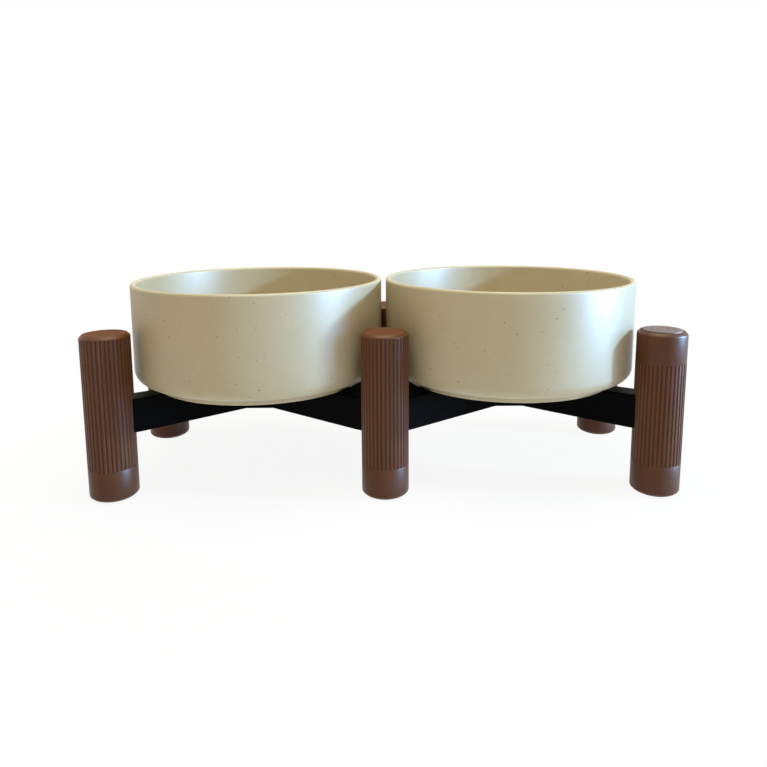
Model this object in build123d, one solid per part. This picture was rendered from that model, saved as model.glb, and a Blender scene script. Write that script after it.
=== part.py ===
from build123d import *

import os
from math import atan2, degrees, sqrt

# Raised feeder for two bowls. Six round legs stand in two rows of three, and
# two X-shaped frames, one under each bowl, tie the legs together. The bowls
# rest on the frames by their foot rings and lift straight out.
#
# Millimetres. X runs along the row of bowls, Y from front to back, Z up. The
# origin is on the floor, in the middle of the stand.

# Bowls
BOWL_RADIUS = 80.0
BOWL_HEIGHT = 65.6
BOWL_WALL = 3.5
BOWL_FLOOR = 3.5
BOWL_LOWER_EDGE = 7.5
BOWL_INNER_EDGE = 12.0
BOWL_GAP = 3.0
FOOT_RING_RADIUS = 68.0
FOOT_RING_WALL = 4.5
FOOT_RING_HEIGHT = 4.4
FOOT_RING_ROUNDING = 1.0
BOWL_RECESS = 2.5

# Legs: a fluted tube that ends in a plain cup with a rubber pad
LEG_RADIUS = 14.1
LEG_HEIGHT = 99.0
LEG_WALL = 3.2
LEG_TOP_THICKNESS = 3.0
LEG_TOP_BEVEL = 1.7
LEG_TOP_LAND = 0.4
DISH_RADIUS = 11.2
DISH_DEPTH = 0.5
LEG_TO_BOWL = 3.4
FLUTES = 36
FLUTE_WIDTH = 1.3
FLUTE_DEPTH = 0.5

# Cup at the end of a leg, with its pad
CUP_HEIGHT = 18.6
CUP_BEVEL = 1.7
CUP_FLOOR = 4.5
CUP_SEAM = 0.3
SPIGOT_LENGTH = 12.0
SPIGOT_WALL = 2.2
PAD_RADIUS = 11.2
PAD_THICKNESS = 2.2
PAD_STAND_OUT = 0.6
PAD_RINGS = 2
PAD_RING_PITCH = 3.4
PAD_RING_DEPTH = 0.5

# X-shaped frames
ARM_WIDTH = 15.0
ARM_TOP = 59.0
ARM_END_HEIGHT = 20.4
HUB_HEIGHT = 17.6
HUB_SIZE = 32.8
ARM_ROUNDING = 1.0
HUB_CORNER = 1.5
FRAME_RIM = 2.4
RECESS_DEPTH = 2.0
TENON_DEPTH = 7.0
TENON_SHOULDER = 2.0

# Clearances
SPIGOT_CLEARANCE = 0.15
PAD_CLEARANCE = 0.2
TENON_CLEARANCE = 0.1

# The legs stand on the lines between the bowls, one clearance away from them.
BOWL_PITCH = 2 * BOWL_RADIUS + BOWL_GAP
LEG_PITCH = BOWL_PITCH
HUB_TO_LEG = BOWL_RADIUS + LEG_TO_BOWL + LEG_RADIUS
LEG_ROW = sqrt(HUB_TO_LEG ** 2 - (LEG_PITCH / 2) ** 2)
ARM_ANGLE = degrees(atan2(LEG_ROW, LEG_PITCH / 2))
CUP_FULL_HEIGHT = CUP_HEIGHT + PAD_STAND_OUT
LEG_BORE = LEG_RADIUS - LEG_WALL

COLUMNS = {"left": -1, "middle": 0, "right": 1}
ROWS = {"front": -1, "rear": 1}
SIDES = {"left": -1, "right": 1}

# One leg carries a second cup on its upper end in place of the closed top.
DOUBLE_CUP_LEG = "front_right"


def leg_names():
    """Yield the name and the floor position of each leg."""
    for row, row_sign in ROWS.items():
        for column, column_sign in COLUMNS.items():
            yield f"{row}_{column}", column_sign, row_sign


def leg_place(column_sign, row_sign):
    """Location of a leg's axis on the floor."""
    return Pos(column_sign * LEG_PITCH, row_sign * LEG_ROW, 0)


def hub_place(side_sign):
    """Location of a frame's middle on the floor."""
    return Pos(side_sign * BOWL_PITCH / 2, 0, 0)


def bottom_cylinder(radius, height, base=0.0):
    """A cylinder that stands on the height base."""
    upright = (Align.CENTER, Align.CENTER, Align.MIN)
    return Pos(0, 0, base) * Cylinder(radius, height, align=upright)


def circle_edges(part, radius, height):
    """The round edges of a part that have this radius and height."""
    found = ShapeList()
    for edge in part.edges().filter_by(GeomType.CIRCLE):
        same_radius = abs(edge.radius - radius) < 0.01
        same_height = abs(edge.center().Z - height) < 0.01
        if same_radius and same_height:
            found.append(edge)
    return found


def make_bowl():
    """One bowl about its own axis, with its foot ring on height 0."""
    inside = BOWL_RADIUS - BOWL_WALL
    floor = BOWL_RECESS + BOWL_FLOOR
    rim = BOWL_HEIGHT - BOWL_WALL / 2
    ring_inside = FOOT_RING_RADIUS - FOOT_RING_WALL
    edge_centre = (BOWL_RADIUS - BOWL_LOWER_EDGE, FOOT_RING_HEIGHT + BOWL_LOWER_EDGE)
    corner_centre = (inside - BOWL_INNER_EDGE, floor + BOWL_INNER_EDGE)
    with BuildPart() as bowl:
        with BuildSketch(Plane.XZ):
            with BuildLine():
                under = Polyline(
                    (0, BOWL_RECESS),
                    (ring_inside, BOWL_RECESS),
                    (ring_inside, 0),
                    (FOOT_RING_RADIUS, 0),
                    (FOOT_RING_RADIUS, FOOT_RING_HEIGHT),
                    (BOWL_RADIUS - BOWL_LOWER_EDGE, FOOT_RING_HEIGHT),
                )
                CenterArc(edge_centre, BOWL_LOWER_EDGE, -90, 90)
                Line((BOWL_RADIUS, edge_centre[1]), (BOWL_RADIUS, rim))
                CenterArc((BOWL_RADIUS - BOWL_WALL / 2, rim), BOWL_WALL / 2, 0, 180)
                Line((inside, rim), (inside, corner_centre[1]))
                CenterArc(corner_centre, BOWL_INNER_EDGE, -90, 90)
                Polyline((corner_centre[0], floor), (0, floor), under @ 0)
            make_face()
        revolve(axis=Axis.Z)
    part = bowl.part
    ring_edges = circle_edges(part, FOOT_RING_RADIUS, 0) + circle_edges(part, ring_inside, 0)
    part = fillet(ring_edges, FOOT_RING_ROUNDING)
    return part


def fluted_section():
    """Section of a leg's outside through its flutes."""
    half = FLUTE_WIDTH / 2
    cutter_radius = (half ** 2 + FLUTE_DEPTH ** 2) / (2 * FLUTE_DEPTH)
    reach = LEG_RADIUS + cutter_radius - FLUTE_DEPTH
    cutters = [place * Circle(cutter_radius) for place in PolarLocations(reach, FLUTES)]
    return Circle(LEG_RADIUS) - cutters


def tenon_window(column_sign, row_sign, side_sign):
    """The hole in a leg for one arm, in the leg's own frame."""
    towards_hub = degrees(atan2(-row_sign * LEG_ROW, (side_sign / 2 - column_sign) * LEG_PITCH))
    height = ARM_END_HEIGHT + TENON_CLEARANCE
    low_end = (Align.MIN, Align.CENTER, Align.MIN)
    window = Box(LEG_RADIUS, ARM_WIDTH + 2 * TENON_CLEARANCE, height, align=low_end)
    start = LEG_RADIUS - TENON_DEPTH
    return Rot(0, 0, towards_hub) * Pos(start, 0, ARM_TOP - ARM_END_HEIGHT) * window


def make_leg(column_sign, row_sign, double_cup):
    """One leg tube in its own frame, from its lower cup to its upper end."""
    base = CUP_FULL_HEIGHT
    if double_cup:
        top = LEG_HEIGHT - CUP_FULL_HEIGHT
        flute_top = top
        bore_top = top
    else:
        top = LEG_HEIGHT
        flute_top = top - LEG_TOP_BEVEL - LEG_TOP_LAND
        bore_top = top - LEG_TOP_THICKNESS
    leg = Pos(0, 0, base) * extrude(fluted_section(), flute_top - base)
    if not double_cup:
        cap = bottom_cylinder(LEG_RADIUS, top - flute_top, flute_top)
        cap = chamfer(circle_edges(cap, LEG_RADIUS, top), LEG_TOP_BEVEL)
        dish = Cone(DISH_RADIUS - 2 * DISH_DEPTH, DISH_RADIUS, DISH_DEPTH)
        leg = leg + cap - Pos(0, 0, top - DISH_DEPTH / 2) * dish
    leg = leg - bottom_cylinder(LEG_BORE, bore_top - base, base)
    for side_sign in SIDES.values():
        if abs(side_sign / 2 - column_sign) < 1:
            leg = leg - tenon_window(column_sign, row_sign, side_sign)
    return leg


def make_cup():
    """The plain cup on a leg's end, with its open pad seat facing down."""
    spigot_radius = LEG_BORE - SPIGOT_CLEARANCE
    seat_depth = PAD_THICKNESS - PAD_STAND_OUT
    shell = bottom_cylinder(LEG_RADIUS, CUP_HEIGHT, PAD_STAND_OUT)
    shell = chamfer(circle_edges(shell, LEG_RADIUS, PAD_STAND_OUT), CUP_BEVEL)
    shell = chamfer(circle_edges(shell, LEG_RADIUS, CUP_FULL_HEIGHT), CUP_SEAM)
    spigot = bottom_cylinder(spigot_radius, SPIGOT_LENGTH, CUP_FULL_HEIGHT)
    cup = shell + spigot
    cup -= bottom_cylinder(PAD_RADIUS + PAD_CLEARANCE, seat_depth, PAD_STAND_OUT)
    hollow_height = CUP_HEIGHT + SPIGOT_LENGTH - CUP_FLOOR
    cup -= bottom_cylinder(spigot_radius - SPIGOT_WALL, hollow_height, PAD_STAND_OUT + CUP_FLOOR)
    return cup


def make_pad():
    """The rubber pad in a cup, with shallow rings round its free face."""
    pad = bottom_cylinder(PAD_RADIUS, PAD_THICKNESS)
    for ring in range(1, PAD_RINGS + 1):
        middle = ring * PAD_RING_PITCH
        outer = Cone(middle + PAD_RING_DEPTH, middle, PAD_RING_DEPTH)
        inner = Cone(middle - PAD_RING_DEPTH, middle, PAD_RING_DEPTH)
        pad -= Pos(0, 0, PAD_RING_DEPTH / 2) * (outer - inner)
    return pad


def upside_down(part):
    """A part turned over so that it closes the top of a leg."""
    return Pos(0, 0, LEG_HEIGHT) * Rot(180, 0, 0) * part


def arm_underside(along):
    """Height of an arm's sloping underside, this far along from the hub's middle."""
    slope_length = HUB_TO_LEG - LEG_RADIUS - TENON_SHOULDER
    drop = (ARM_END_HEIGHT - HUB_HEIGHT) * along / slope_length
    return ARM_TOP - HUB_HEIGHT - drop


def arm_blank():
    """One solid arm from the middle of the hub outwards along X.

    The underside slopes from the hub down to the leg and is level in the leg.
    """
    leg_face = HUB_TO_LEG - LEG_RADIUS
    slope_end = leg_face - TENON_SHOULDER
    end = leg_face + TENON_DEPTH
    low = arm_underside(slope_end)
    outline = Polyline(
        (0, arm_underside(0)),
        (slope_end, low),
        (end, low),
        (end, ARM_TOP),
        (0, ARM_TOP),
        close=True,
    )
    return extrude(Plane.XZ * make_face(outline), ARM_WIDTH / 2, both=True)


def arm_recess():
    """The long shallow recess that leaves a rim round an arm's underside."""
    start = HUB_SIZE / 2
    end = HUB_TO_LEG - LEG_RADIUS - TENON_SHOULDER - FRAME_RIM
    below = ARM_TOP - ARM_END_HEIGHT - RECESS_DEPTH
    outline = Polyline(
        (start, below),
        (end, below),
        (end, arm_underside(end) + RECESS_DEPTH),
        (start, arm_underside(start) + RECESS_DEPTH),
        close=True,
    )
    return extrude(Plane.XZ * make_face(outline), ARM_WIDTH / 2 - FRAME_RIM, both=True)


def hub_recess():
    """The round shallow recess under the hub, cut from below the arms."""
    below = ARM_TOP - ARM_END_HEIGHT
    depth = ARM_END_HEIGHT - HUB_HEIGHT + RECESS_DEPTH
    return bottom_cylinder(HUB_SIZE / 2 - FRAME_RIM, depth, below)


def make_frame():
    """One X-shaped frame about its own middle, recessed from below."""
    turns = [ARM_ANGLE, 180 - ARM_ANGLE, 180 + ARM_ANGLE, -ARM_ANGLE]
    under_top = (Align.CENTER, Align.CENTER, Align.MAX)
    frame = Pos(0, 0, ARM_TOP) * Box(HUB_SIZE, HUB_SIZE, HUB_HEIGHT, align=under_top)
    for turn in turns:
        frame += Rot(0, 0, turn) * arm_blank()
    hub_corners = ShapeList()
    for edge in frame.edges().filter_by(Axis.Z):
        middle = edge.center()
        if middle.X ** 2 + middle.Y ** 2 < HUB_SIZE ** 2:
            hub_corners.append(edge)
    frame = fillet(hub_corners, HUB_CORNER)
    frame = fillet(frame.faces().sort_by(Axis.Z)[-1].edges(), ARM_ROUNDING)
    for turn in turns:
        frame -= Rot(0, 0, turn) * arm_recess()
    return frame - hub_recess()


def main():
    os.makedirs("parts", exist_ok=True)
    pieces = {}
    bowl = make_bowl()
    frame = make_frame()
    cup = make_cup()
    pad = make_pad()
    for side, side_sign in SIDES.items():
        pieces[f"{side}_cross_frame"] = hub_place(side_sign) * frame
        pieces[f"{side}_bowl"] = hub_place(side_sign) * Pos(0, 0, ARM_TOP) * bowl
    for name, column_sign, row_sign in leg_names():
        place = leg_place(column_sign, row_sign)
        double_cup = name == DOUBLE_CUP_LEG
        pieces[f"{name}_leg"] = place * make_leg(column_sign, row_sign, double_cup)
        pieces[f"{name}_foot"] = place * cup
        pieces[f"{name}_foot_pad"] = place * pad
        if double_cup:
            pieces[f"{name}_top_cup"] = place * upside_down(cup)
            pieces[f"{name}_top_pad"] = place * upside_down(pad)
    for name, piece in pieces.items():
        export_step(piece, f"parts/{name}.step")


main()
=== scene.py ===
# %% [markdown]
# # A raised feeder for two bowls
#
# Two cream bowls lie on black X-shaped frames, and six fluted brown legs carry the
# frames. The solids of the feeder are loaded first, as a fixed frame in metres: X runs
# along the row of bowls, Y from front to back, Z up, with the origin on the floor. Every
# piece below is modelled at its real size and at its real place in that frame.

# %% Load the frame
from math import atan2, cos, pi, radians, sin

import bmesh
import bpy
from mathutils import Matrix, Vector


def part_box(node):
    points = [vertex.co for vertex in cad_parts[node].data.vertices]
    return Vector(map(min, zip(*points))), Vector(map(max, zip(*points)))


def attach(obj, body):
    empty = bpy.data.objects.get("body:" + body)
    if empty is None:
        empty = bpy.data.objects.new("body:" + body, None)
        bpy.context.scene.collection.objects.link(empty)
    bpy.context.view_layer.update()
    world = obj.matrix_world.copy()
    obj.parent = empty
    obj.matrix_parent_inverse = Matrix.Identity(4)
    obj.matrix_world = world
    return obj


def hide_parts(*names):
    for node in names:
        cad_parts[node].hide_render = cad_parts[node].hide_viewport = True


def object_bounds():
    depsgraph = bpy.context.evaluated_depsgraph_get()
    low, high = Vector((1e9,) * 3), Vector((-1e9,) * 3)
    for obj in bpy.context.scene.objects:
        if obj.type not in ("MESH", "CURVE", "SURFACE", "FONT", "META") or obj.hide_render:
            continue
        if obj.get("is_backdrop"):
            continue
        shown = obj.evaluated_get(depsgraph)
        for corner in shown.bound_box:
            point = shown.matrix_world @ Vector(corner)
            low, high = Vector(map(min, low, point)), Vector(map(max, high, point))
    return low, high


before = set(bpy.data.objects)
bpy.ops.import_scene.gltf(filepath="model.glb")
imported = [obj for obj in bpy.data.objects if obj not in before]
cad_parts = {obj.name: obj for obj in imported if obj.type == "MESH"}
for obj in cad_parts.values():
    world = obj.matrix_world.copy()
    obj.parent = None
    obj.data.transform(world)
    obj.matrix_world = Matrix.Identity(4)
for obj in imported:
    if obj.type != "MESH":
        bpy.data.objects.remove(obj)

solid_box = [list(corner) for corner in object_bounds()]
print("the solids reach from", solid_box[0], "to", solid_box[1])

# %% [markdown]
# ## The camera
#
# The camera stands in front of the feeder, a little above the rims. Its place, angle and
# lens were worked out from where the rims, their front lines included, the leg tops and
# the feet lie in the picture. The picture was cut from a larger one, so the lens is
# shifted instead of tipped: tipping would make the legs lean.

# %% Camera
MM = 0.001
CAMERA_PLACE = (-3.90 * MM, -431.38 * MM, 172.65 * MM)
VIEW_YAW = -0.009
VIEW_PITCH = 0.144
VIEW_ROLL = -0.006
SENSOR_WIDTH = 36.0
LENS = 30.91
LENS_SHIFT = -0.110
NEAREST_SEEN = 0.01

bpy.ops.object.camera_add(location=CAMERA_PLACE)
camera = bpy.context.object
turn = Matrix.Rotation(VIEW_YAW, 4, "Z") @ Matrix.Rotation(pi / 2 - VIEW_PITCH, 4, "X")
camera.rotation_euler = (turn @ Matrix.Rotation(VIEW_ROLL, 4, "Z")).to_euler()
camera.data.sensor_width = SENSOR_WIDTH
camera.data.lens = LENS
camera.data.shift_y = LENS_SHIFT
camera.data.clip_start = NEAREST_SEEN
bpy.context.scene.camera = camera
print("camera", round(camera.location.length, 3), "m from the origin")

# %% [markdown]
# ## Selecting in code
#
# Modelling by hand is a click on a face and then an operator. In a script the click is a
# test: it is asked of every face, edge or vertex, and what passes is selected. Places and
# normals make good tests, because they still hold when a size changes.

# %% Helpers that select and shape
SELECT_MODES = {"VERT": (True, False, False), "EDGE": (False, True, False), "FACE": (False, False, True)}
NEAR = 0.02 * MM
LEVEL = 0.99
FEWEST_CAP_SIDES = 8


def pick(piece, kind, wanted):
    """Select, in edit mode, only the parts of this kind that pass the test."""
    bpy.context.tool_settings.mesh_select_mode = SELECT_MODES[kind]
    bpy.ops.mesh.select_all(action="DESELECT")
    mesh = bmesh.from_edit_mesh(piece.data)
    parts = {"VERT": mesh.verts, "EDGE": mesh.edges, "FACE": mesh.faces}[kind]
    chosen = [part for part in parts if wanted(part)]
    for part in chosen:
        part.select_set(True)
    mesh.select_flush_mode()
    bmesh.update_edit_mesh(piece.data)


def on_circle(radius, height):
    """A test for an edge that lies on this circle round the upright axis."""
    def test(edge):
        return all(
            abs(corner.co.xy.length - radius) < NEAR and abs(corner.co.z - height) < NEAR
            for corner in edge.verts
        )
    return test


def cap_at(height):
    """A test for the flat end face at this height."""
    def test(face):
        whole = abs(face.normal.z) > LEVEL and len(face.verts) > FEWEST_CAP_SIDES
        return whole and abs(face.calc_center_median().z - height) < NEAR
    return test


def turned_blank(name, radius, low, high, sides):
    """A round blank about the upright axis, left in edit mode with nothing selected."""
    bpy.ops.object.select_all(action="DESELECT")
    middle = (0, 0, (low + high) / 2)
    bpy.ops.mesh.primitive_cylinder_add(vertices=sides, radius=radius, depth=high - low, location=middle)
    piece = bpy.context.object
    piece.name = name
    bpy.ops.object.transform_apply(location=True, rotation=True, scale=True)
    bpy.ops.object.mode_set(mode="EDIT")
    bpy.ops.mesh.select_all(action="DESELECT")
    return piece


def rise(amount):
    """Extrude the selected end face straight up, or down for a negative amount."""
    bpy.ops.mesh.extrude_region_move(TRANSFORM_OT_translate={"value": (0, 0, amount)})


def narrow(amount, sink=0.0):
    """Inset the selected end face by this much, and sink or lift the new face."""
    bpy.ops.mesh.inset(thickness=amount, depth=sink)


def round_off(piece, radius, height, size, steps):
    """Round the edge on this circle; a single step makes a flat bevel."""
    pick(piece, "EDGE", on_circle(radius, height))
    bpy.ops.mesh.bevel(offset=size, segments=steps, affect="EDGES", clamp_overlap=False)


def finish_mesh(piece, sharpest=30):
    """Leave edit mode and shade the piece smooth, with its sharp edges kept."""
    bpy.ops.object.mode_set(mode="OBJECT")
    bpy.ops.object.shade_smooth_by_angle(angle=radians(sharpest))
    print(piece.name, len(piece.data.vertices), "vertices")


def copy_to(piece, name, place):
    """A copy of a piece with a mesh of its own, moved inside its mesh."""
    twin = piece.copy()
    twin.data = piece.data.copy()
    twin.name = name
    twin.data.transform(place)
    bpy.context.collection.objects.link(twin)
    return twin


def drop(piece):
    """Remove a piece that was only needed while modelling."""
    bpy.data.objects.remove(piece, do_unlink=True)


# %% [markdown]
# ## The bowls
#
# A moulded bowl is a body of revolution: an upright wall with a full round rim, a level
# floor with a wide round corner, and a foot ring under it. It could be spun from a
# profile. Here it is cut from a round blank, because each inset and extrusion then is
# one plain step of the real shape: the hollow, the foot ring, the recess inside it.
# A narrow extra inset along each corner keeps the flat faces flat under smooth shading.

# %% Bowl
BOWL_SIDES = 192
BOWL_WALL = 3.5 * MM
BOWL_FLOOR = 6.0 * MM
FOOT_RING_HEIGHT = 4.4 * MM
FOOT_RING_INSET = 12.0 * MM
FOOT_RING_WALL = 4.5 * MM
FOOT_RECESS = 2.5 * MM
LOWER_CORNER = 7.5 * MM
INNER_CORNER = 12.0 * MM
RIM_ROUND = 0.49 * BOWL_WALL
RING_ROOT_ROUND = 0.9 * MM
RING_ROUND = 1.0 * MM
HOLD = 0.4 * MM

bowl_low, bowl_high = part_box("left_bowl")
bowl_radius = (bowl_high.x - bowl_low.x) / 2
rim = bowl_high.z
body_low = bowl_low.z + FOOT_RING_HEIGHT


def model_bowl():
    """One bowl about the upright axis, at the height that the frames give it."""
    bowl = turned_blank("bowl", bowl_radius, body_low, rim, BOWL_SIDES)
    pick(bowl, "FACE", cap_at(rim))
    narrow(BOWL_WALL)
    rise(bowl_low.z + BOWL_FLOOR - rim)
    narrow(INNER_CORNER + HOLD)
    pick(bowl, "FACE", cap_at(body_low))
    narrow(FOOT_RING_INSET)
    rise(-FOOT_RING_HEIGHT)
    narrow(FOOT_RING_WALL)
    rise(FOOT_RECESS)
    narrow(HOLD)
    inside = bowl_radius - BOWL_WALL
    ring = bowl_radius - FOOT_RING_INSET
    round_off(bowl, bowl_radius, rim, RIM_ROUND, 6)
    round_off(bowl, inside, rim, RIM_ROUND, 6)
    round_off(bowl, bowl_radius, body_low, LOWER_CORNER, 10)
    round_off(bowl, inside, bowl_low.z + BOWL_FLOOR, INNER_CORNER, 12)
    round_off(bowl, ring, body_low, RING_ROOT_ROUND, 4)
    round_off(bowl, ring, bowl_low.z, RING_ROUND, 4)
    round_off(bowl, ring - FOOT_RING_WALL, bowl_low.z, RING_ROUND, 4)
    finish_mesh(bowl)
    return bowl


bowl_shape = model_bowl()
bowls = {}
for side in ("left", "right"):
    low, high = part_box(f"{side}_bowl")
    centre = (low + high) / 2
    bowl = copy_to(bowl_shape, f"{side}_speckled_bowl", Matrix.Translation((centre.x, centre.y, 0)))
    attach(bowl, f"{side}_bowl_body")
    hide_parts(f"{side}_bowl")
    bowls[side] = bowl
drop(bowl_shape)
print("bowls", round(2 * bowl_radius / MM, 1), "mm across")

# %% [markdown]
# ## The fluted legs
#
# Each leg is a tube with 36 shallow grooves down its side. The grooves could be cut with
# booleans, but a round blank with ten points to each groove already has a point wherever
# the groove bends, so rows of points are only drawn in towards the axis. The upper end
# is a smooth bevelled cap with a dished face. The bore and the windows for the arms are
# real too, since they show when the stand is seen from below.

# %% Fluted leg
FLUTES = 36
STEPS_PER_FLUTE = 10
FLUTE_WIDTH = 1.3 * MM
FLUTE_DEPTH = 0.5 * MM
LEG_WALL = 3.2 * MM
CAP_BEVEL = 1.7 * MM
CAP_LAND = 0.4 * MM
CAP_THICKNESS = 3.0 * MM
DISH_RADIUS = 11.2 * MM
DISH_DEPTH = 0.5 * MM
CAP_STEP = 0.05 * MM
END_SKIN = 0.1 * MM
BEVEL_OUTER_ROUND = 0.3 * MM
BEVEL_INNER_ROUND = 0.45 * MM
DISH_ROUND = 0.25 * MM
SAME_STEP = 0.1
LEG_SHARPEST = 22

leg_low, leg_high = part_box("front_left_leg")
leg_radius = (leg_high.x - leg_low.x) / 2
leg_base = leg_low.z
open_leg_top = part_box("front_right_leg")[1].z


def groove_depth(step):
    """How far a point lies below the land, this many steps from the groove's middle."""
    cutter = ((FLUTE_WIDTH / 2) ** 2 + FLUTE_DEPTH ** 2) / (2 * FLUTE_DEPTH)
    reach = leg_radius + cutter - FLUTE_DEPTH
    angle = step * 2 * pi / (FLUTES * STEPS_PER_FLUTE)
    aside = reach * sin(angle)
    if aside >= cutter:
        return 0.0
    return leg_radius - (reach * cos(angle) - (cutter ** 2 - aside ** 2) ** 0.5)


def cut_flutes(leg, flute_top):
    """Draw the points of the grooves in towards the axis."""
    for step in range(STEPS_PER_FLUTE // 2):
        depth = groove_depth(step)
        if depth == 0.0:
            continue

        def in_row(corner):
            if corner.co.z > flute_top + NEAR or corner.co.xy.length < leg_radius - NEAR:
                return False
            turns = atan2(corner.co.y, corner.co.x) / (2 * pi) * FLUTES
            from_middle = abs(turns - round(turns)) * STEPS_PER_FLUTE
            return abs(from_middle - step) < SAME_STEP

        pick(leg, "VERT", in_row)
        share = 1 - depth / leg_radius
        bpy.ops.transform.resize(value=(share, share, 1), center_override=(0, 0, 0))


def model_leg(name, top, closed):
    """One leg tube about the upright axis, with a closed or an open upper end."""
    flute_top = top - CAP_BEVEL - CAP_LAND if closed else top
    bore_top = top - CAP_THICKNESS if closed else top - END_SKIN
    leg = turned_blank(name, leg_radius, leg_base, flute_top, FLUTES * STEPS_PER_FLUTE)
    if closed:
        pick(leg, "FACE", cap_at(flute_top))
        rise(CAP_STEP)
        rise(CAP_LAND - CAP_STEP)
        narrow(CAP_BEVEL, CAP_BEVEL)
        narrow(leg_radius - CAP_BEVEL - DISH_RADIUS)
        narrow(2 * DISH_DEPTH, -DISH_DEPTH)
        narrow(HOLD)
    pick(leg, "FACE", cap_at(leg_base))
    narrow(LEG_WALL)
    rise(bore_top - leg_base)
    cut_flutes(leg, flute_top)
    if closed:
        round_off(leg, leg_radius, top - CAP_BEVEL, BEVEL_OUTER_ROUND, 3)
        round_off(leg, leg_radius - CAP_BEVEL, top, BEVEL_INNER_ROUND, 3)
        round_off(leg, DISH_RADIUS, top, DISH_ROUND, 2)
    finish_mesh(leg, LEG_SHARPEST)
    return leg


closed_leg = model_leg("closed_leg", leg_high.z, True)
open_leg = model_leg("open_leg", open_leg_top, False)

# %% [markdown]
# Each leg is now copied to its place, and the windows for the arms are cut. An arm comes
# from the middle of a frame, so the cutter is a block that lies on the line from the leg
# to that middle. The block is as wide and as tall as the arm, with a hair of clearance.

# %% Legs in place, with their windows
ARM_WIDTH = 15.0 * MM
ARM_HEIGHT = 20.4 * MM
TENON_DEPTH = 7.0 * MM
TENON_CLEARANCE = 0.1 * MM
CUT_BEYOND = 1 * MM

hub_x = (bowl_low.x + bowl_high.x) / 2
arm_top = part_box("left_cross_frame")[1].z
leg_names = [f"{row}_{column}" for row in ("front", "rear") for column in ("left", "middle", "right")]


def leg_axis(name):
    """The middle of a leg on the floor."""
    low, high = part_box(f"{name}_foot_pad")
    return Vector(((low.x + high.x) / 2, (low.y + high.y) / 2, 0))


def cut_window(leg, axis, hub):
    """Cut the window for one arm into a leg that stands in its place."""
    heading = atan2(hub.y - axis.y, hub.x - axis.x)
    out = leg_radius - TENON_DEPTH / 2 + CUT_BEYOND
    middle = axis + Vector((out * cos(heading), out * sin(heading), arm_top - ARM_HEIGHT / 2))
    width = ARM_WIDTH + 2 * TENON_CLEARANCE
    size = (TENON_DEPTH + 2 * CUT_BEYOND, width, ARM_HEIGHT + 2 * TENON_CLEARANCE)
    bpy.ops.mesh.primitive_cube_add(size=1, location=middle, rotation=(0, 0, heading), scale=size)
    cutter = bpy.context.object
    bpy.ops.object.select_all(action="DESELECT")
    bpy.context.view_layer.objects.active = leg
    leg.select_set(True)
    cut = leg.modifiers.new("window", "BOOLEAN")
    cut.operation = "DIFFERENCE"
    cut.solver = "EXACT"
    cut.object = cutter
    bpy.ops.object.modifier_apply(modifier=cut.name)
    drop(cutter)


legs = {}
for name in leg_names:
    axis = leg_axis(name)
    shape = open_leg if name == "front_right" else closed_leg
    leg = copy_to(shape, f"{name}_fluted_tube", Matrix.Translation(axis))
    for hub in (Vector((hub_x, 0, 0)), Vector((-hub_x, 0, 0))):
        if (hub - axis).length < 2 * bowl_radius:
            cut_window(leg, axis, hub)
    bpy.ops.object.shade_smooth_by_angle(angle=radians(LEG_SHARPEST))
    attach(leg, "stand")
    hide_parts(f"{name}_leg")
    legs[name] = leg
drop(closed_leg)
drop(open_leg)
print(len(legs), "legs, each", round((leg_high.z - leg_base) / MM, 1), "mm of tube")

# %% [markdown]
# ## The cups
#
# A plain cup closes the lower end of every leg, and the front right leg carries a second
# one on its upper end. The cup has the leg's own thickness, so only a fine seam shows
# between them. A spigot goes up into the bore, and the free end has a bevel and a
# shallow seat for the pad. One cup is modelled upright and copied; the one on the upper
# end is turned over.

# %% Cups
CUP_SIDES = 160
CUP_BEVEL = 1.7 * MM
CUP_SEAM = 0.3 * MM
CUP_OUTER_ROUND = 0.5 * MM
CUP_INNER_ROUND = 0.4 * MM
SEAT_ROUND = 0.2 * MM
CUP_WEB = 4.5 * MM
SPIGOT_CLEARANCE = 0.15 * MM
SPIGOT_LENGTH = 12.0 * MM
SPIGOT_WALL = 2.2 * MM
PAD_CLEARANCE = 0.2 * MM

cup_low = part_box("front_left_foot")[0].z
pad_low, pad_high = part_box("front_left_foot_pad")
pad_radius = (pad_high.x - pad_low.x) / 2
seat_radius = pad_radius + PAD_CLEARANCE
spigot_radius = leg_radius - LEG_WALL - SPIGOT_CLEARANCE


def model_cup():
    """One cup about the upright axis, as it stands under a leg."""
    cup = turned_blank("cup", leg_radius, cup_low, leg_base, CUP_SIDES)
    pick(cup, "FACE", cap_at(leg_base))
    narrow(leg_radius - spigot_radius)
    rise(SPIGOT_LENGTH)
    narrow(SPIGOT_WALL)
    rise(cup_low + CUP_WEB - leg_base - SPIGOT_LENGTH)
    narrow(HOLD)
    pick(cup, "FACE", cap_at(cup_low))
    narrow(leg_radius - seat_radius)
    rise(pad_high.z - cup_low)
    narrow(HOLD)
    round_off(cup, leg_radius, cup_low, CUP_BEVEL, 1)
    round_off(cup, leg_radius, cup_low + CUP_BEVEL, CUP_OUTER_ROUND, 3)
    round_off(cup, leg_radius - CUP_BEVEL, cup_low, CUP_INNER_ROUND, 3)
    round_off(cup, leg_radius, leg_base, CUP_SEAM, 2)
    round_off(cup, seat_radius, cup_low, SEAT_ROUND, 2)
    finish_mesh(cup)
    return cup


def turned_over():
    """The move that takes a cup or a pad from the lower end to the upper one."""
    return Matrix.Translation((0, 0, leg_high.z)) @ Matrix.Rotation(pi, 4, "X")


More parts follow.
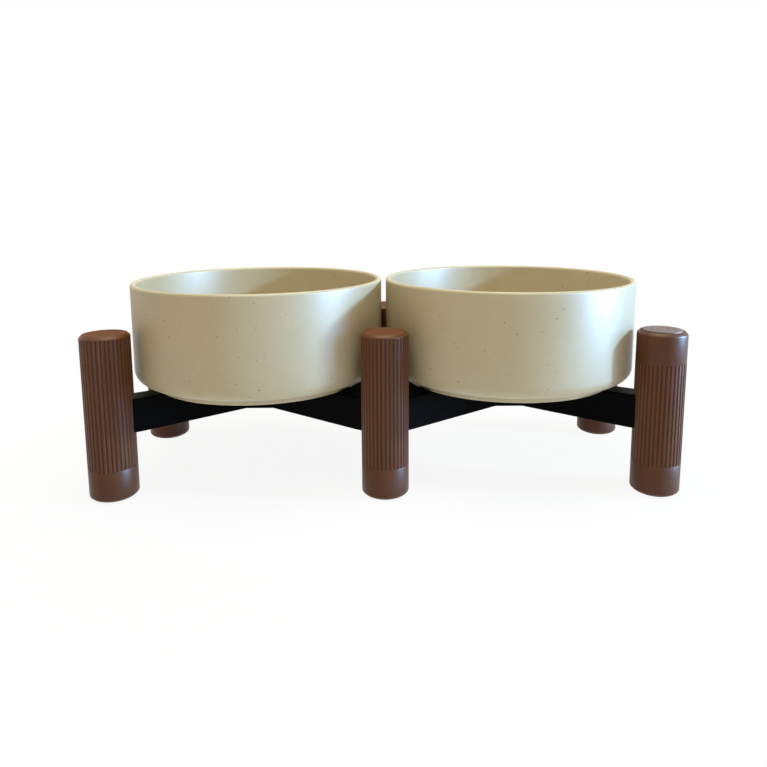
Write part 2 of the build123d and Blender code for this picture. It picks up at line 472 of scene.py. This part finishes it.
cup_shape = model_cup()
cups = {}
for name in leg_names:
    cups[f"{name}_foot"] = copy_to(cup_shape, f"{name}_foot_cup", Matrix.Translation(leg_axis(name)))
top_place = Matrix.Translation(leg_axis("front_right")) @ turned_over()
cups["front_right_top_cup"] = copy_to(cup_shape, "front_right_upper_cup", top_place)
drop(cup_shape)
for node, cup in cups.items():
    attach(cup, "stand")
    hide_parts(node)
print(len(cups), "cups")

# %% [markdown]
# ## The pads
#
# A rubber pad sits in the seat of every cup and stands out by a little, so that the feeder
# doesn't slide. Its free face has a few shallow rings round its middle. They could be a
# bump in the material, but real ones catch the light at their edges, so each ring is two
# insets: one that sinks and one that comes back.

# %% Pads
PAD_SIDES = 128
PAD_RINGS = 2
RING_PITCH = 3.4 * MM
RING_DEPTH = 0.5 * MM
PAD_ROUND = 0.3 * MM
PAD_RING_ROUND = 0.12 * MM


def model_pad():
    """One pad about the upright axis, with its ringed face down."""
    pad = turned_blank("pad", pad_radius, pad_low.z, pad_high.z, PAD_SIDES)
    pick(pad, "FACE", cap_at(pad_low.z))
    reached = pad_radius
    for ring in range(PAD_RINGS, 0, -1):
        outer = ring * RING_PITCH + RING_DEPTH
        narrow(reached - outer)
        narrow(RING_DEPTH, -RING_DEPTH)
        narrow(RING_DEPTH, RING_DEPTH)
        reached = outer - 2 * RING_DEPTH
    narrow(HOLD)
    round_off(pad, pad_radius, pad_low.z, PAD_ROUND, 3)
    for ring in range(1, PAD_RINGS + 1):
        for edge in (ring * RING_PITCH - RING_DEPTH, ring * RING_PITCH + RING_DEPTH):
            round_off(pad, edge, pad_low.z, PAD_RING_ROUND, 2)
    finish_mesh(pad)
    return pad


pad_shape = model_pad()
pads = {}
for name in leg_names:
    pads[f"{name}_foot_pad"] = copy_to(pad_shape, f"{name}_rubber_pad", Matrix.Translation(leg_axis(name)))
pads["front_right_top_pad"] = copy_to(pad_shape, "front_right_upper_pad", top_place)
drop(pad_shape)
for node, pad in pads.items():
    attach(pad, "stand")
    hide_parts(node)
print(len(pads), "pads")

# %% [markdown]
# ## Effects that the finishes share
#
# Moulded plastic is never quite even: it has a fine grain from the mould, its gloss drifts
# a little from place to place, and its edges are rubbed. On bowls, legs and cups the edge
# mask also lays a painted highlight along the edges, and one more group gives the depth in
# the flutes, where shade is painted. Each of these is a node group with a few named inputs,
# so that every finish can use it with values of its own. All of them read the place in the
# frame in metres, so the grain has the same real size on every piece.

# %% Helpers for nodes
def new_group(name, inputs, outputs):
    """An empty node group with number inputs and outputs."""
    group = bpy.data.node_groups.new(name, "ShaderNodeTree")
    for label, value in inputs.items():
        socket = group.interface.new_socket(label, in_out="INPUT", socket_type="NodeSocketFloat")
        socket.default_value = value
    for label in outputs:
        group.interface.new_socket(label, in_out="OUTPUT", socket_type="NodeSocketFloat")
    return group


def node(tree, kind, **values):
    """Add a node, and set those of its properties that have these names."""
    made = tree.nodes.new(kind)
    for label, value in values.items():
        setattr(made, label, value)
    return made


def feed(tree, source, target):
    """Link an output to an input, or set the input to a plain value."""
    if isinstance(source, bpy.types.NodeSocket):
        tree.links.new(source, target)
    else:
        target.default_value = source


def calculate(tree, operation, first, second=0.0, third=0.0):
    """A math node; each side is a socket or a number."""
    made = node(tree, "ShaderNodeMath", operation=operation)
    for socket, value in zip(made.inputs, (first, second, third)):
        feed(tree, value, socket)
    return made.outputs[0]


def spread(tree, value, low, high, new_low=0.0, new_high=1.0):
    """Stretch the values between low and high over a new range, with soft ends."""
    made = node(tree, "ShaderNodeMapRange", interpolation_type="SMOOTHSTEP")
    for label, part in (("Value", value), ("From Min", low), ("From Max", high),
                        ("To Min", new_low), ("To Max", new_high)):
        feed(tree, part, made.inputs[label])
    return made.outputs["Result"]


def noise(tree, place, scale, detail=2.0, roughness=0.5):
    """A three-dimensional noise, from 0 to 1."""
    made = node(tree, "ShaderNodeTexNoise")
    feed(tree, place, made.inputs["Vector"])
    feed(tree, scale, made.inputs["Scale"])
    made.inputs["Detail"].default_value = detail
    made.inputs["Roughness"].default_value = roughness
    return made.outputs["Fac"]


# %% Groups for grain, drift, edge wear and highlight, speckle and flute shade
COARSE_GRAIN = 0.17
CLOSE_DRIFT = 9.0
WEAR_PATCHES = 700.0
SPECK_WOBBLES = 2500.0
SPECK_WOBBLE = 0.00018
SPECK_CORE = 0.6
FLUTE_EDGE = 0.00008
FLUTE_DEEP = 0.00035


def make_grain():
    """Fine mould grain: a height for the bump."""
    group = new_group("mould_grain", {"Size": 0.0005, "Coarse share": 0.35}, ["Height"])
    ins, outs = node(group, "NodeGroupInput"), node(group, "NodeGroupOutput")
    place = node(group, "ShaderNodeTexCoord").outputs["Object"]
    fine_scale = calculate(group, "DIVIDE", 1.0, ins.outputs["Size"])
    coarse_scale = calculate(group, "MULTIPLY", fine_scale, COARSE_GRAIN)
    fine = noise(group, place, fine_scale, 2.0, 0.6)
    coarse = noise(group, place, coarse_scale, 3.0, 0.5)
    mixed = node(group, "ShaderNodeMix", data_type="FLOAT")
    feed(group, ins.outputs["Coarse share"], mixed.inputs[0])
    feed(group, fine, mixed.inputs[2])
    feed(group, coarse, mixed.inputs[3])
    feed(group, mixed.outputs[0], outs.inputs["Height"])
    return group


def make_drift():
    """Slow change over the surface, from 0 to 1, for colour and gloss."""
    group = new_group("slow_drift", {"Size": 0.04, "Smudges": 0.3}, ["Shade"])
    ins, outs = node(group, "NodeGroupInput"), node(group, "NodeGroupOutput")
    place = node(group, "ShaderNodeTexCoord").outputs["Object"]
    wide = noise(group, place, calculate(group, "DIVIDE", 1.0, ins.outputs["Size"]), 2.0, 0.5)
    close = noise(group, place, calculate(group, "DIVIDE", CLOSE_DRIFT, ins.outputs["Size"]), 4.0, 0.65)
    mixed = node(group, "ShaderNodeMix", data_type="FLOAT")
    feed(group, ins.outputs["Smudges"], mixed.inputs[0])
    feed(group, wide, mixed.inputs[2])
    feed(group, close, mixed.inputs[3])
    feed(group, spread(group, mixed.outputs[0], 0.3, 0.7), outs.inputs["Shade"])
    return group


def make_edge_wear_and_highlight():
    """Near edges, for rubbed edges and a painted highlight: a bevelled normal leaves the true one only near
    an edge.
    """
    group = new_group("edge_wear_and_highlight", {"Width": 0.0006, "Breaks": 0.5}, ["Mask"])
    ins, outs = node(group, "NodeGroupInput"), node(group, "NodeGroupOutput")
    place = node(group, "ShaderNodeTexCoord").outputs["Object"]
    soft = node(group, "ShaderNodeBevel", samples=4)
    feed(group, ins.outputs["Width"], soft.inputs["Radius"])
    true = node(group, "ShaderNodeNewGeometry").outputs["Normal"]
    alike = node(group, "ShaderNodeVectorMath", operation="DOT_PRODUCT")
    feed(group, soft.outputs["Normal"], alike.inputs[0])
    feed(group, true, alike.inputs[1])
    edge = spread(group, alike.outputs["Value"], 0.995, 0.93)
    patches = spread(group, noise(group, place, WEAR_PATCHES, 3.0, 0.6), 0.38, 0.62)
    kept = calculate(group, "MULTIPLY", patches, ins.outputs["Breaks"])
    whole = calculate(group, "SUBTRACT", 1.0, ins.outputs["Breaks"])
    broken = calculate(group, "ADD", kept, whole)
    feed(group, calculate(group, "MULTIPLY", edge, broken), outs.inputs["Mask"])
    return group


def make_speckle():
    """Sparse round specks: cells of a given size, few of which hold a speck."""
    group = new_group("speckle", {"Cell": 0.004, "Radius": 0.1, "Share": 0.5, "Seed": 0.0}, ["Mask"])
    ins, outs = node(group, "NodeGroupInput"), node(group, "NodeGroupOutput")
    place = node(group, "ShaderNodeTexCoord").outputs["Object"]
    moved = node(group, "ShaderNodeVectorMath", operation="ADD")
    feed(group, place, moved.inputs[0])
    offset = node(group, "ShaderNodeCombineXYZ")
    feed(group, ins.outputs["Seed"], offset.inputs["X"])
    feed(group, offset.outputs[0], moved.inputs[1])
    wobble = node(group, "ShaderNodeTexNoise")
    feed(group, moved.outputs[0], wobble.inputs["Vector"])
    wobble.inputs["Scale"].default_value = SPECK_WOBBLES
    bent = node(group, "ShaderNodeVectorMath", operation="MULTIPLY_ADD")
    feed(group, wobble.outputs["Color"], bent.inputs[0])
    bent.inputs[1].default_value = (SPECK_WOBBLE, SPECK_WOBBLE, SPECK_WOBBLE)
    feed(group, moved.outputs[0], bent.inputs[2])
    cells = node(group, "ShaderNodeTexVoronoi", feature="F1")
    feed(group, bent.outputs[0], cells.inputs["Vector"])
    feed(group, calculate(group, "DIVIDE", 1.0, ins.outputs["Cell"]), cells.inputs["Scale"])
    dice = node(group, "ShaderNodeSeparateColor")
    feed(group, cells.outputs["Color"], dice.inputs[0])
    held = calculate(group, "LESS_THAN", dice.outputs[0], ins.outputs["Share"])
    size = calculate(group, "MULTIPLY", ins.outputs["Radius"], calculate(group, "ADD", dice.outputs[1], 0.5))
    core = calculate(group, "MULTIPLY", size, SPECK_CORE)
    inside = spread(group, cells.outputs["Distance"], size, core)
    depth = calculate(group, "ADD", calculate(group, "MULTIPLY", dice.outputs[2], 0.5), 0.5)
    shown = calculate(group, "MULTIPLY", calculate(group, "MULTIPLY", inside, held), depth)
    feed(group, shown, outs.inputs["Mask"])
    return group


def make_flute_shade():
    """How deep a point lies below the side of its leg, from 0 on a land to 1 in a flute; it places the
    painted flute shade.
    """
    group = new_group("flute_shade", {"Leg radius": 0.014, "Leg spacing": 0.16, "Row": 0.07}, ["Mask"])
    ins, outs = node(group, "NodeGroupInput"), node(group, "NodeGroupOutput")
    place = node(group, "ShaderNodeSeparateXYZ")
    feed(group, node(group, "ShaderNodeTexCoord").outputs["Object"], place.inputs[0])
    half = calculate(group, "DIVIDE", ins.outputs["Leg spacing"], 2.0)
    along = calculate(group, "WRAP", place.outputs["X"], half, calculate(group, "MULTIPLY", half, -1.0))
    from_middle = calculate(group, "ABSOLUTE", place.outputs["Y"])
    across = calculate(group, "SUBTRACT", from_middle, ins.outputs["Row"])
    squares = calculate(group, "MULTIPLY_ADD", along, along, calculate(group, "MULTIPLY", across, across))
    depth = calculate(group, "SUBTRACT", ins.outputs["Leg radius"], calculate(group, "SQRT", squares))
    feed(group, spread(group, depth, FLUTE_EDGE, FLUTE_DEEP), outs.inputs["Mask"])
    return group


grain, drift = make_grain(), make_drift()
edge_wear_and_highlight, speckle, flute_shade = make_edge_wear_and_highlight(), make_speckle(), make_flute_shade()
print("shared effects:", [group.name for group in (grain, drift, edge_wear_and_highlight, speckle, flute_shade)])

# %% [markdown]
# ## Building a finish
#
# Every finish starts from a plain shader. Shared effects are placed beside it with values
# of their own, their masks mix colours, and the grain goes into the normal.

# %% Helpers for a finish
def place_group(tree, group, **values):
    """Put a shared effect into a material with its own values."""
    made = node(tree, "ShaderNodeGroup", node_tree=group)
    for label, value in values.items():
        made.inputs[label.replace("_", " ")].default_value = value
    return made


def tint(tree, mask, under, over):
    """A colour that turns from one into the other where the mask is high."""
    made = node(tree, "ShaderNodeMix", data_type="RGBA")
    feed(tree, mask, made.inputs["Factor"])
    feed(tree, under, made.inputs[6])
    feed(tree, over, made.inputs[7])
    return made.outputs[2]


def new_finish(name):
    """A material with only its Principled shader and output."""
    material = bpy.data.materials.new(name)
    material.use_nodes = True
    return material, material.node_tree, material.node_tree.nodes["Principled BSDF"]


def bumped(tree, shader, height, distance, strength=1.0):
    """Feed a height into the shader's normal."""
    bump = node(tree, "ShaderNodeBump")
    bump.inputs["Strength"].default_value = strength
    bump.inputs["Distance"].default_value = distance
    feed(tree, height, bump.inputs["Height"])
    feed(tree, bump.outputs["Normal"], shader.inputs["Normal"])


# %% [markdown]
# ## Cream bowl finish
#
# The bowls are cream with dark specks of two sizes, as in plastic that is filled with
# plant fibre. The surface is matte but not dead: low light draws a broad sheen over it.
# The specks are sparse cells, so none of them repeats, and a faint mottling keeps the
# large plain wall from looking painted.

# %% Cream bowl finish
DARKER_CREAM = (0.545, 0.465, 0.320, 1)
LIGHTER_CREAM = (0.580, 0.502, 0.355, 1)
MOTTLED_CREAM = (0.49, 0.41, 0.27, 1)
SMALL_SPECK = (0.22, 0.15, 0.08, 1)
LARGE_SPECK = (0.06, 0.038, 0.022, 1)
# The lighter edge colour: rubbed cream and a painted highlight on the rim.
RUBBED_HIGHLIGHT_CREAM = (0.66, 0.62, 0.50, 1)


def make_bowl_finish():
    """Speckled cream plastic, with rubbed edges that also carry a painted highlight."""
    material, tree, shader = new_finish("speckled_cream")
    shade = place_group(tree, drift, Size=0.03, Smudges=0.35).outputs["Shade"]
    body = tint(tree, shade, DARKER_CREAM, LIGHTER_CREAM)
    mottle = place_group(tree, drift, Size=0.006, Smudges=0.6).outputs["Shade"]
    body = tint(tree, calculate(tree, "MULTIPLY", mottle, 0.2), body, MOTTLED_CREAM)
    small = place_group(tree, speckle, Cell=0.0034, Radius=0.100, Share=0.65, Seed=0.0).outputs["Mask"]
    large = place_group(tree, speckle, Cell=0.0056, Radius=0.074, Share=0.82, Seed=3.0).outputs["Mask"]
    faint = tint(tree, calculate(tree, "MULTIPLY", small, 0.55), body, SMALL_SPECK)
    specks = tint(tree, calculate(tree, "MULTIPLY", large, 0.95), faint, LARGE_SPECK)
    # Lighter, whiter edges: partly rubbed, partly a painted highlight along the rim.
    edge_mask = place_group(tree, edge_wear_and_highlight, Width=0.0008, Breaks=0.5).outputs["Mask"]
    lit = tint(tree, calculate(tree, "MULTIPLY", edge_mask, 0.15), specks, RUBBED_HIGHLIGHT_CREAM)
    feed(tree, lit, shader.inputs["Base Color"])
    feed(tree, spread(tree, shade, 0.0, 1.0, 0.42, 0.48), shader.inputs["Roughness"])
    shader.inputs["Specular IOR Level"].default_value = 0.5
    fine = place_group(tree, grain, Size=0.0004, Coarse_share=0.4).outputs["Height"]
    bumped(tree, shader, fine, 0.00003, 0.5)
    return material


# %% [markdown]
# ## Brown leg finish
#
# Tube and cup are the same dark brown plastic, satin and finely grained. Each flute gets a
# painted shade, darker than the lands beside it, since little light reaches its bottom, and
# its edges are slightly rubbed, with a painted highlight along them. The depth below the side
# of the leg says what is a flute. The level faces on top are more matte, or they would
# mirror the white room at a low angle.

# %% Brown leg finishes
# The colour of the painted shade at the bottom of a flute.
PAINTED_FLUTE_SHADE = (0.022, 0.007, 0.003, 1)
corner_leg = leg_axis("rear_right")


def make_leg_finish(name, dark, light, rubbed_highlight_edge, edge_amount):
    """Dark brown satin plastic, matte on its level faces, with painted shade in the flutes and a painted
    highlight on its edges.
    """
    material, tree, shader = new_finish(name)
    shade = place_group(tree, drift, Size=0.02, Smudges=0.4).outputs["Shade"]
    body = tint(tree, shade, dark, light)
    # Lighter edges: partly rubbed, partly a painted highlight where flute edges and bevels catch the light.
    edge_mask = place_group(tree, edge_wear_and_highlight, Width=0.0004, Breaks=0.4).outputs["Mask"]
    coloured = tint(tree, calculate(tree, "MULTIPLY", edge_mask, edge_amount), body, rubbed_highlight_edge)
    facing = node(tree, "ShaderNodeSeparateXYZ")
    feed(tree, node(tree, "ShaderNodeNewGeometry").outputs["Normal"], facing.inputs[0])
    upright = spread(tree, calculate(tree, "ABSOLUTE", facing.outputs["Z"]), 0.5, 0.2, 0.0, 0.55)
    # Painted shade: on upright faces the colour darkens in the flutes.
    deep = place_group(tree, flute_shade, Leg_radius=leg_radius, Leg_spacing=corner_leg.x, Row=corner_leg.y)
    shaded = tint(tree, calculate(tree, "MULTIPLY", deep.outputs["Mask"], upright), coloured, PAINTED_FLUTE_SHADE)
    feed(tree, shaded, shader.inputs["Base Color"])
    level = spread(tree, facing.outputs["Z"], 0.85, 0.97, 0.0, 0.40)
    satin = spread(tree, shade, 0.0, 1.0, 0.36, 0.42)
    feed(tree, calculate(tree, "ADD", satin, level), shader.inputs["Roughness"])
    shader.inputs["Specular IOR Level"].default_value = 0.24
    fine = place_group(tree, grain, Size=0.0003, Coarse_share=0.3).outputs["Height"]
    bumped(tree, shader, fine, 0.00004, 0.6)
    return material


# %% [markdown]
# ## Black frame finish
#
# The frames are black and lie in shade. Even a weak gloss mirrors the white room and
# turns black into grey, so the gloss is kept low and the colour very dark.

# %% Black frame and rubber finishes
DARKER_BLACK = (0.0008, 0.0008, 0.0009, 1)
LIGHTER_BLACK = (0.0018, 0.0018, 0.0020, 1)
RUBBED_BLACK = (0.014, 0.014, 0.015, 1)
DARKER_RUBBER = (0.115, 0.070, 0.055, 1)
LIGHTER_RUBBER = (0.150, 0.098, 0.082, 1)


def make_frame_finish():
    """Black satin plastic with rubbed edges."""
    material, tree, shader = new_finish("black_satin")
    shade = place_group(tree, drift, Size=0.03, Smudges=0.5).outputs["Shade"]
    body = tint(tree, shade, DARKER_BLACK, LIGHTER_BLACK)
    edge_mask = place_group(tree, edge_wear_and_highlight, Width=0.0006, Breaks=0.6).outputs["Mask"]
    coloured = tint(tree, calculate(tree, "MULTIPLY", edge_mask, 0.3), body, RUBBED_BLACK)
    feed(tree, coloured, shader.inputs["Base Color"])
    feed(tree, spread(tree, shade, 0.0, 1.0, 0.42, 0.52), shader.inputs["Roughness"])
    shader.inputs["Specular IOR Level"].default_value = 0.03
    fine = place_group(tree, grain, Size=0.0004, Coarse_share=0.5).outputs["Height"]
    bumped(tree, shader, fine, 0.00004, 0.6)
    return material


def make_rubber_finish():
    """Brown matte rubber, a little dusty."""
    material, tree, shader = new_finish("brown_rubber")
    shade = place_group(tree, drift, Size=0.008, Smudges=0.6).outputs["Shade"]
    feed(tree, tint(tree, shade, DARKER_RUBBER, LIGHTER_RUBBER), shader.inputs["Base Color"])
    feed(tree, spread(tree, shade, 0.0, 1.0, 0.50, 0.62), shader.inputs["Roughness"])
    shader.inputs["Specular IOR Level"].default_value = 0.5
    fine = place_group(tree, grain, Size=0.0005, Coarse_share=0.5).outputs["Height"]
    bumped(tree, shader, fine, 0.00005, 0.8)
    return material


bowl_finish = make_bowl_finish()
# The lighter edge colours are partly rubbed plastic and partly a painted highlight.
leg_finish = make_leg_finish(
    "fluted_brown",
    dark=(0.122, 0.039, 0.010, 1),
    light=(0.140, 0.047, 0.014, 1),
    rubbed_highlight_edge=(0.21, 0.105, 0.060, 1),
    edge_amount=0.45,
)
cup_finish = make_leg_finish(
    "plain_brown",
    dark=(0.096, 0.033, 0.012, 1),
    light=(0.114, 0.041, 0.018, 1),
    rubbed_highlight_edge=(0.17, 0.085, 0.055, 1),
    edge_amount=0.35,
)
frame_finish = make_frame_finish()
rubber_finish = make_rubber_finish()


def dress(piece, material):
    """Give a piece one finish all over."""
    piece.data.materials.clear()
    piece.data.materials.append(material)


for bowl in bowls.values():
    dress(bowl, bowl_finish)
for leg in legs.values():
    dress(leg, leg_finish)
for cup in cups.values():
    dress(cup, cup_finish)
for pad in pads.values():
    dress(pad, rubber_finish)
for side in ("left", "right"):
    dress(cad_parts[f"{side}_cross_frame"], frame_finish)
print("finishes:", [material.name for material in bpy.data.materials])

# %% [markdown]
# ## Floor, backdrop and light
#
# The feeder stands on a plain pale floor in an even white room. The camera sees floor and
# room as white, which is done with the Light Path node, so that no extra light falls on
# the object to make them white. Near the feeder the floor shows its own lit surface too,
# which keeps the shadow under the legs. The room itself gives a weak, warm light.

# %% Floor and room
FLOOR_SIZE = 6.0
FLOOR_GREY = (0.82, 0.82, 0.82, 1)
SHADOW_START = 0.16
SHADOW_REACH = 0.34
WHITE_NEARBY = 0.91
ROOM_COLOUR = (1.0, 0.72, 0.42, 1)
ROOM_STRENGTH = 0.32
WHITE = (1, 1, 1, 1)


def seen_directly(tree):
    """1 for rays from the camera, and for mirrored and refracted ones."""
    path = node(tree, "ShaderNodeLightPath")
    either = calculate(tree, "MAXIMUM", path.outputs["Is Camera Ray"], path.outputs["Is Glossy Ray"])
    return calculate(tree, "MAXIMUM", either, path.outputs["Is Transmission Ray"])


def make_floor_finish():
    """Pale floor that keeps the shadow and fades to white."""
    material, tree, shader = new_finish("pale_floor")
    place = node(tree, "ShaderNodeTexCoord").outputs["Object"]
    away = node(tree, "ShaderNodeVectorMath", operation="LENGTH")
    feed(tree, place, away.inputs[0])
    fade = spread(tree, away.outputs["Value"], SHADOW_START, SHADOW_REACH, WHITE_NEARBY, 1.0)
    shader.inputs["Base Color"].default_value = FLOOR_GREY
    shader.inputs["Roughness"].default_value = 0.9
    shader.inputs["Specular IOR Level"].default_value = 0.1
    white = node(tree, "ShaderNodeEmission")
    mixed = node(tree, "ShaderNodeMixShader")
    feed(tree, calculate(tree, "MULTIPLY", seen_directly(tree), fade), mixed.inputs[0])
    tree.links.new(shader.outputs[0], mixed.inputs[1])
    tree.links.new(white.outputs[0], mixed.inputs[2])
    tree.links.new(mixed.outputs[0], tree.nodes["Material Output"].inputs["Surface"])
    return material


bpy.ops.object.select_all(action="DESELECT")
bpy.ops.mesh.primitive_plane_add(size=FLOOR_SIZE, location=(0, 0, 0))
floor = bpy.context.object
floor.name = "floor"
dress(floor, make_floor_finish())
floor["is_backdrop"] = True

room = bpy.data.worlds.new("room")
bpy.context.scene.world = room
room.use_nodes = True
tree = room.node_tree
plain = tree.nodes["Background"]
plain.inputs["Color"].default_value = ROOM_COLOUR
plain.inputs["Strength"].default_value = ROOM_STRENGTH
white = node(tree, "ShaderNodeBackground")
white.inputs["Color"].default_value = WHITE
mixed = node(tree, "ShaderNodeMixShader")
feed(tree, seen_directly(tree), mixed.inputs[0])
tree.links.new(plain.outputs[0], mixed.inputs[1])
tree.links.new(white.outputs[0], mixed.inputs[2])
tree.links.new(mixed.outputs[0], tree.nodes["World Output"].inputs["Surface"])
print("floor", FLOOR_SIZE, "m wide, its shadow fades out at", SHADOW_REACH, "m")

# %% [markdown]
# ## The lamps
#
# A small cool window stands low at the right, a little towards the front, so one bowl
# throws a clear shadow on the other. Its reflection is much brighter than the light that
# it throws, so a second lamp near it is seen by glossy rays alone. A wide lamp overhead
# reaches down into the bowls, where the window can't.

# %% Lamps
AIM = Vector((0, 0, 0.08))
WINDOW_BLUE = (0.41, 0.70, 1.0)
SHEEN_BLUE = (0.33, 0.60, 1.0)
CEILING_WHITE = (0.95, 1.0, 0.82)


def hang_lamp(name, heading, distance, height, size, watts, colour):
    """A flat lamp that looks at the bowls. Heading 0 is the front, 90 the right."""
    turn = radians(heading)
    place = Vector((distance * sin(turn), -distance * cos(turn), height))
    bpy.ops.object.light_add(type="AREA", location=place)
    lamp = bpy.context.object
    lamp.name = name
    lamp.data.shape = "RECTANGLE"
    lamp.data.size, lamp.data.size_y = size
    lamp.data.energy = watts
    lamp.data.color = colour
    lamp.rotation_euler = (AIM - place).to_track_quat("-Z", "Y").to_euler()
    return lamp


hang_lamp("window", heading=79.6, distance=1.3, height=0.45, size=(0.08, 0.10),
          watts=18.5, colour=WINDOW_BLUE)
sheen = hang_lamp("window_sheen", heading=77, distance=1.2, height=0.30, size=(0.40, 0.50),
                  watts=80.0, colour=SHEEN_BLUE)
sheen.visible_diffuse = False
hang_lamp("ceiling", heading=0, distance=0.05, height=1.2, size=(0.8, 0.8),
          watts=12.5, colour=CEILING_WHITE)

# %% [markdown]
# ## Last measurements
#
# Standard is the view transform that shows colours as they are written. Both boxes are
# measured, and how far the dressed feeder reaches past its solids is printed. The
# dressed feeder must not be larger than its solids.

# %% Measure and finish
bpy.context.scene.view_settings.view_transform = "Standard"
dressed_box = [list(corner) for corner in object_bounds()]
growth = [round((dressed_box[1][i] - solid_box[1][i]) / MM, 3) for i in range(3)]
print("the dressed feeder reaches past the solids by", growth, "mm")
